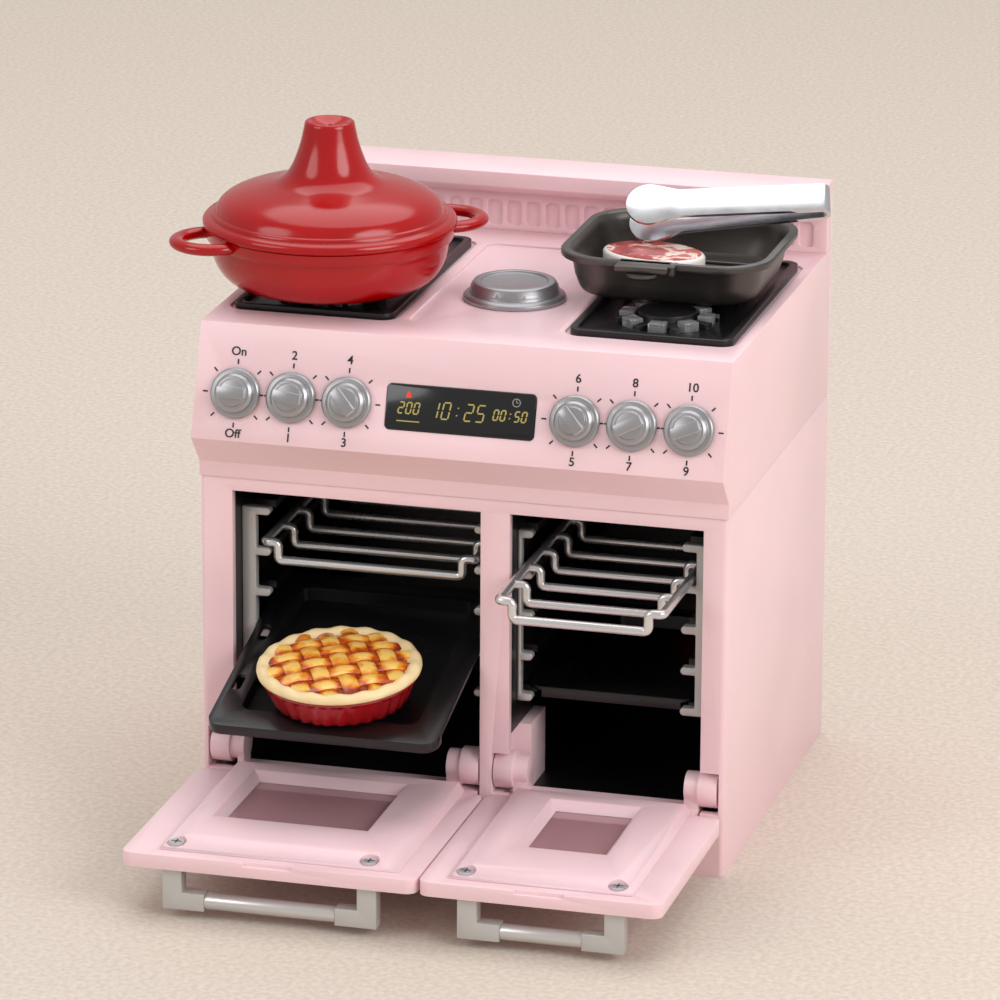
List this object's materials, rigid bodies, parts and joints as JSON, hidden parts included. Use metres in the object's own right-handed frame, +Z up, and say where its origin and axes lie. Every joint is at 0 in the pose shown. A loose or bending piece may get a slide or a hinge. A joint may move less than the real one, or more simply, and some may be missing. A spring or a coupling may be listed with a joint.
{
  "type": "toy oven",
  "caption": "Toy range cooker with drop-down oven doors, racks, trays, dials on a sloped fascia, a lidded pot, a grill pan with steak, a pie and tongs.",
  "frame": {"origin": "centre of the cabinet's base, on the surface it stands on", "axes": "+Z up, front faces -Y, +X to the right as seen from the front"},
  "size_m": [0.1377, 0.1594, 0.157],
  "materials": {
    "pink_plastic": "pastel pink moulded plastic, satin",
    "black_plastic": "black moulded plastic",
    "dark_window": "polished dark window",
    "silver_plastic": "silver painted plastic",
    "bright_plastic": "bright metallised plastic",
    "clear_plastic": "clear moulded plastic",
    "window_plastic": "tinted clear plastic",
    "steel": "zinc plated steel",
    "circuit_board": "green board",
    "speaker_plastic": "black speaker frame",
    "red_lamp": "red translucent lamp",
    "battery_case": "battery can",
    "tray_plastic": "black moulded plastic, fine texture",
    "red_glaze": "red high gloss plastic",
    "dish_red": "dark red plastic",
    "crust_plastic": "painted plastic crust",
    "gunmetal_plastic": "gunmetal painted plastic",
    "steak_plastic": "painted plastic meat"
  },
  "bodies": {
    "root": {"cabinet_shell": "pink_plastic", "hob_top": "pink_plastic", "backsplash": "pink_plastic", "back_cover": "pink_plastic", "base_plate": "pink_plastic", "left_oven_liner": "black_plastic", "right_oven_liner": "black_plastic", "left_oven_outer_rail": "bright_plastic", "left_oven_inner_rail": "bright_plastic", "right_oven_inner_rail": "bright_plastic", "right_oven_outer_rail": "bright_plastic", "left_burner_plate": "black_plastic", "right_burner_plate": "black_plastic", "left_burner_lens": "clear_plastic", "right_burner_lens": "clear_plastic", "centre_hotplate": "silver_plastic", "display_window": "dark_window", "circuit_board": "circuit_board", "speaker": "speaker_plastic", "oven_lamps": "red_lamp", "battery_box": "black_plastic", "battery_cells": "battery_case", "battery_cover": "pink_plastic", "battery_cover_screw": "steel", "back_cover_screws": "steel", "base_plate_screws": "steel", "switch_housing": "black_plastic", "left_hinge_pin": "steel", "centre_hinge_pin": "steel", "right_hinge_pin": "steel"},
    "left_door": {"left_door_panel": "pink_plastic", "left_door_frame": "pink_plastic", "left_door_window": "window_plastic", "left_handle_brackets": "silver_plastic", "left_handle_bar": "silver_plastic", "left_door_screws": "steel"},
    "right_door": {"right_door_panel": "pink_plastic", "right_door_frame": "pink_plastic", "right_door_window": "window_plastic", "right_handle_brackets": "silver_plastic", "right_handle_bar": "silver_plastic", "right_door_screws": "steel"},
    "left_rack": {"left_rack": "bright_plastic"},
    "left_tray": {"left_tray": "tray_plastic"},
    "pie": {"pie_dish": "dish_red", "pie_crust": "crust_plastic"},
    "right_rack": {"right_rack": "bright_plastic"},
    "right_tray": {"right_tray": "tray_plastic"},
    "pot": {"pot_base": "red_glaze"},
    "lid": {"pot_lid": "red_glaze"},
    "pan": {"grill_pan": "gunmetal_plastic"},
    "steak": {"steak": "steak_plastic"},
    "tongs": {"tongs": "bright_plastic"},
    "dial_1": {"dial_1": "silver_plastic"},
    "dial_2": {"dial_2": "silver_plastic"},
    "dial_3": {"dial_3": "silver_plastic"},
    "dial_4": {"dial_4": "silver_plastic"},
    "dial_5": {"dial_5": "silver_plastic"},
    "dial_6": {"dial_6": "silver_plastic"},
    "power_switch": {"power_switch": "black_plastic"}
  },
  "joints": [
    {"name": "left_door_hinge", "type": "hinge", "parent": "root", "child": "left_door", "pos_m": [-0.027, -0.046, 0.0191], "axis": [-1, 0, 0], "range_deg": [0, 90]},
    {"name": "right_door_hinge", "type": "hinge", "parent": "root", "child": "right_door", "pos_m": [0.0333, -0.046, 0.0191], "axis": [-1, 0, 0], "range_deg": [0, 90]},
    {"name": "left_tray_swing", "type": "hinge", "parent": "root", "child": "left_tray", "pos_m": [-0.023, -0.01611, -0.09207], "axis": [-1, 0, 0], "range_deg": [0, 15.3]},
    {"name": "right_rack_slide", "type": "slide", "parent": "root", "child": "right_rack", "axis": [0, 1, 0], "range_m": [0, 0.026]},
    {"name": "left_rack_slide", "type": "slide", "parent": "root", "child": "left_rack", "axis": [0, 1, 0], "range_m": [-0.004, 0.012]},
    {"name": "right_tray_slide", "type": "slide", "parent": "root", "child": "right_tray", "axis": [0, 1, 0], "range_m": [-0.007, 0.011]},
    {"name": "pie_lift", "type": "slide", "parent": "left_tray", "child": "pie", "axis": [0, -0.2639, 0.9646], "range_m": [0, 0.0011]},
    {"name": "pot_lift", "type": "slide", "parent": "root", "child": "pot", "axis": [0, 0, 1], "range_m": [0, 0.04]},
    {"name": "lid_lift", "type": "slide", "parent": "pot", "child": "lid", "axis": [0, 0, 1], "range_m": [0, 0.03]},
    {"name": "pan_lift", "type": "slide", "parent": "root", "child": "pan", "axis": [0, 0, 1], "range_m": [0, 0.04]},
    {"name": "steak_lift", "type": "slide", "parent": "pan", "child": "steak", "axis": [0, 0, 1], "range_m": [0, 0.03]},
    {"name": "tongs_lift", "type": "slide", "parent": "steak", "child": "tongs", "axis": [0, 0, 1], "range_m": [0, 0.03]},
    {"name": "dial_1_turn", "type": "hinge", "parent": "root", "child": "dial_1", "pos_m": [-0.0506, -0.0531, 0.10285], "axis": [0, -0.9529, 0.3034], "continuous": true},
    {"name": "dial_2_turn", "type": "hinge", "parent": "root", "child": "dial_2", "pos_m": [-0.0379, -0.0531, 0.10285], "axis": [0, -0.9529, 0.3034], "continuous": true},
    {"name": "dial_3_turn", "type": "hinge", "parent": "root", "child": "dial_3", "pos_m": [-0.0252, -0.0531, 0.10285], "axis": [0, -0.9529, 0.3034], "continuous": true},
    {"name": "dial_4_turn", "type": "hinge", "parent": "root", "child": "dial_4", "pos_m": [0.0262, -0.0531, 0.10285], "axis": [0, -0.9529, 0.3034], "continuous": true},
    {"name": "dial_5_turn", "type": "hinge", "parent": "root", "child": "dial_5", "pos_m": [0.0389, -0.0531, 0.10285], "axis": [0, -0.9529, 0.3034], "continuous": true},
    {"name": "dial_6_turn", "type": "hinge", "parent": "root", "child": "dial_6", "pos_m": [0.0516, -0.0531, 0.10285], "axis": [0, -0.9529, 0.3034], "continuous": true},
    {"name": "power_switch_slide", "type": "slide", "parent": "root", "child": "power_switch", "axis": [1, 0, 0], "range_m": [0, 0.003]}
  ],
  "couplings": [
    {"joint": "left_tray_swing", "follows": "left_door_hinge", "ratio": 0.17},
    {"joint": "right_rack_slide", "follows": "right_door_hinge", "m_per_rad": 0.0165}
  ]
}
